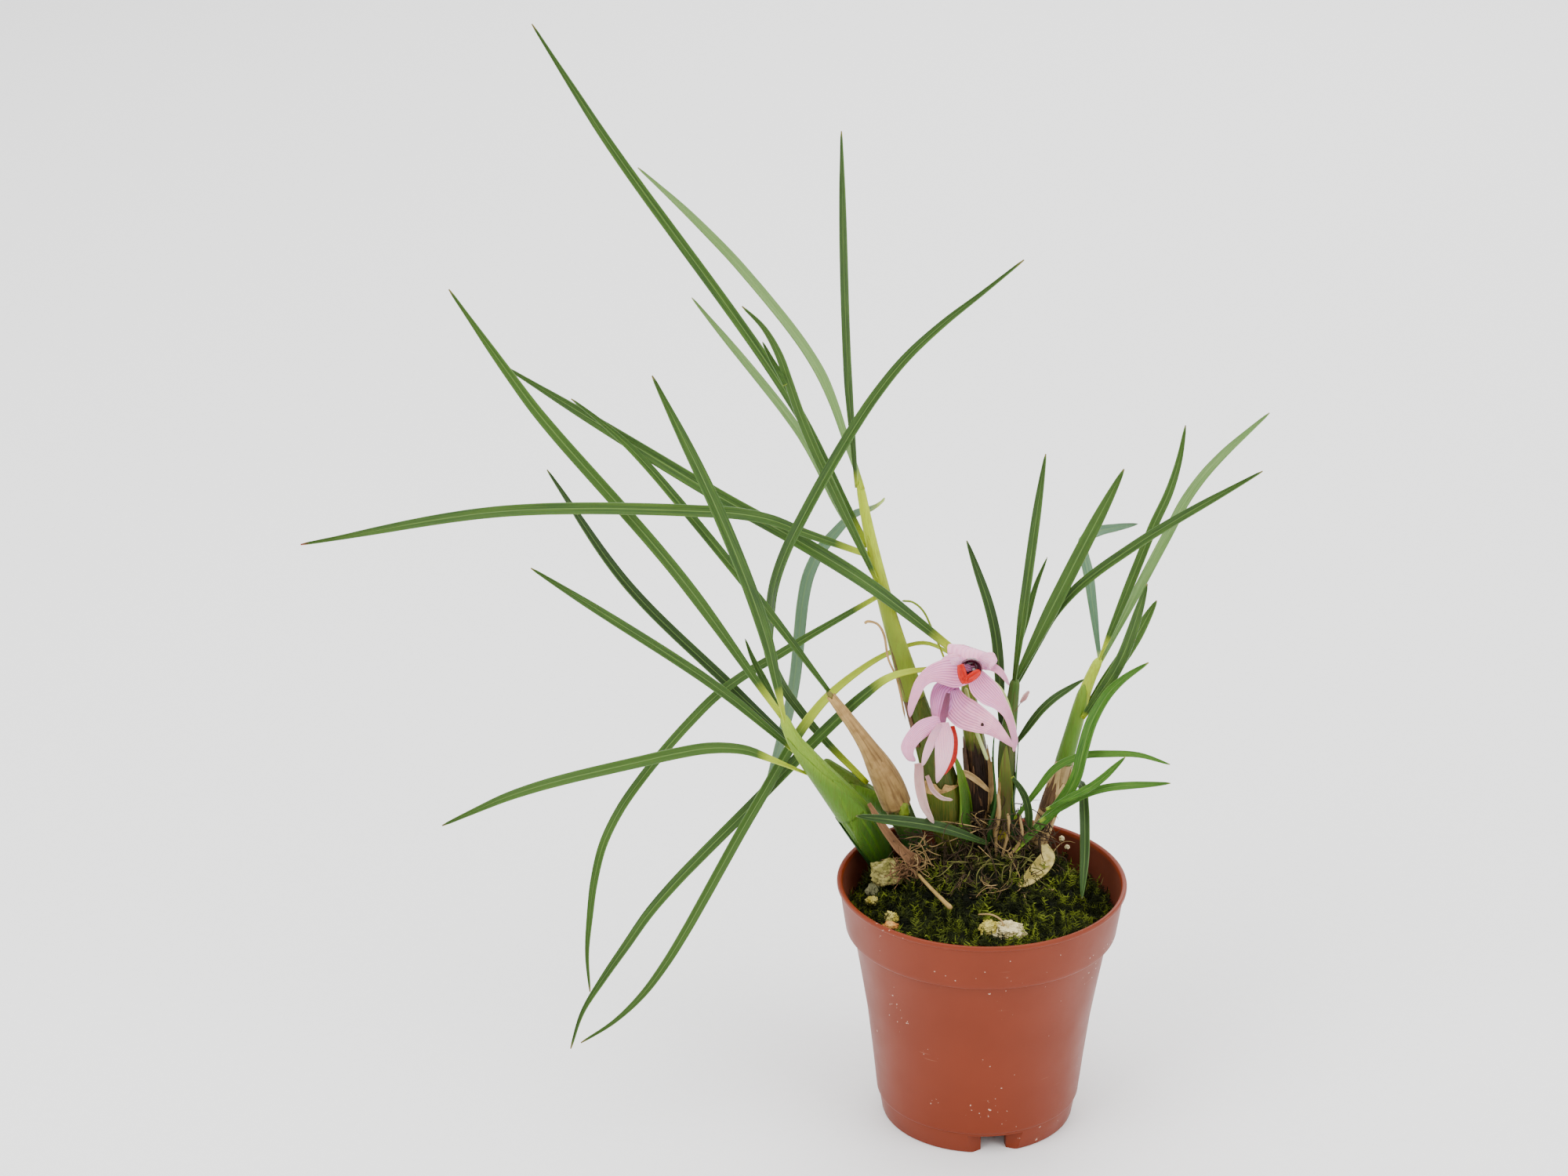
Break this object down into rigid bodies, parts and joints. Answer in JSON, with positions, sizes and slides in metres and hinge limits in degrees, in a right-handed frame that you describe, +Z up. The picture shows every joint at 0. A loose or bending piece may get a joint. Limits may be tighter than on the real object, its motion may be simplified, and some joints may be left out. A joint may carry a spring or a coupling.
{
  "type": "potted orchid",
  "caption": "Small flowering orchid with long grass-like leaves, leaning stems and pink blooms, growing in moss in a round tapered plastic nursery pot.",
  "frame": {"origin": "middle of the plant's whole footprint, on the surface the pot stands on; the pot's axis is at x 0.058, y -0.030", "axes": "+Z up; -Y is the front, where the flowers face; +X is the side of the pot away from the long leaves"},
  "size_m": [0.2921, 0.1501, 0.3341],
  "materials": {
    "pot_plastic": "satin terracotta-coloured plastic",
    "growing_medium": "damp chopped bark",
    "moss": "feathery living moss",
    "leaf_blade": "satin green leaf",
    "green_shoot": "ribbed green stem",
    "dry_sheath": "dry papery sheath",
    "flower_stalk": "smooth pale green stalk",
    "pink_petal": "thin veined petal",
    "orange_lip": "waxy orange-red",
    "bark": "lichen-covered bark",
    "stone": "dull pale stone"
  },
  "bodies": {
    "root": {"back_left_leaf": "leaf_blade", "back_left_shoot": "green_shoot", "central_leaf_1": "leaf_blade", "central_leaf_2": "leaf_blade", "central_leaf_3": "leaf_blade", "central_leaf_4": "leaf_blade", "central_leaf_5": "leaf_blade", "central_leaf_6": "leaf_blade", "central_leaf_7": "leaf_blade", "central_leaf_8": "leaf_blade", "central_shoot": "green_shoot", "dry_straw_stalk": "dry_sheath", "flowering_leaf_1": "leaf_blade", "flowering_leaf_2": "leaf_blade", "flowering_leaf_3": "leaf_blade", "flowering_shoot": "green_shoot", "growing_medium": "growing_medium", "left_bulb_shoot": "green_shoot", "left_leaf_1": "leaf_blade", "left_leaf_2": "leaf_blade", "left_leaf_3": "leaf_blade", "left_leaf_4": "leaf_blade", "left_leaf_5": "leaf_blade", "lichened_bark_chunk": "bark", "low_leaf_1": "leaf_blade", "low_leaf_2": "leaf_blade", "low_leaf_3": "leaf_blade", "low_leaf_4": "leaf_blade", "low_leaf_5": "leaf_blade", "low_leaf_6": "leaf_blade", "lower_flower_left_petal": "pink_petal", "lower_flower_lip": "orange_lip", "lower_flower_middle_sepal": "pink_petal", "lower_flower_right_sepal": "pink_petal", "lower_flower_spur": "pink_petal", "lower_flower_stalk": "flower_stalk", "moss_mat": "moss", "narrow_leaf_1": "leaf_blade", "narrow_leaf_2": "leaf_blade", "narrow_leaf_3": "leaf_blade", "narrow_leaf_4": "leaf_blade", "narrow_leaf_5": "leaf_blade", "narrow_shoot": "green_shoot", "papery_bulb_leaf": "leaf_blade", "papery_old_bulb": "dry_sheath", "pot": "pot_plastic", "right_leaf_1": "leaf_blade", "right_leaf_2": "leaf_blade", "right_leaf_3": "leaf_blade", "right_leaf_4": "leaf_blade", "right_leaf_5": "leaf_blade", "right_shoot": "dry_sheath", "upper_flower_dorsal_sepal": "pink_petal", "upper_flower_left_sepal": "pink_petal", "upper_flower_lip_and_column": "orange_lip", "upper_flower_petal": "pink_petal", "upper_flower_right_sepal": "pink_petal", "upper_flower_stalk": "flower_stalk", "white_stone": "stone", "withered_bloom": "pink_petal"}
  },
  "joints": []
}
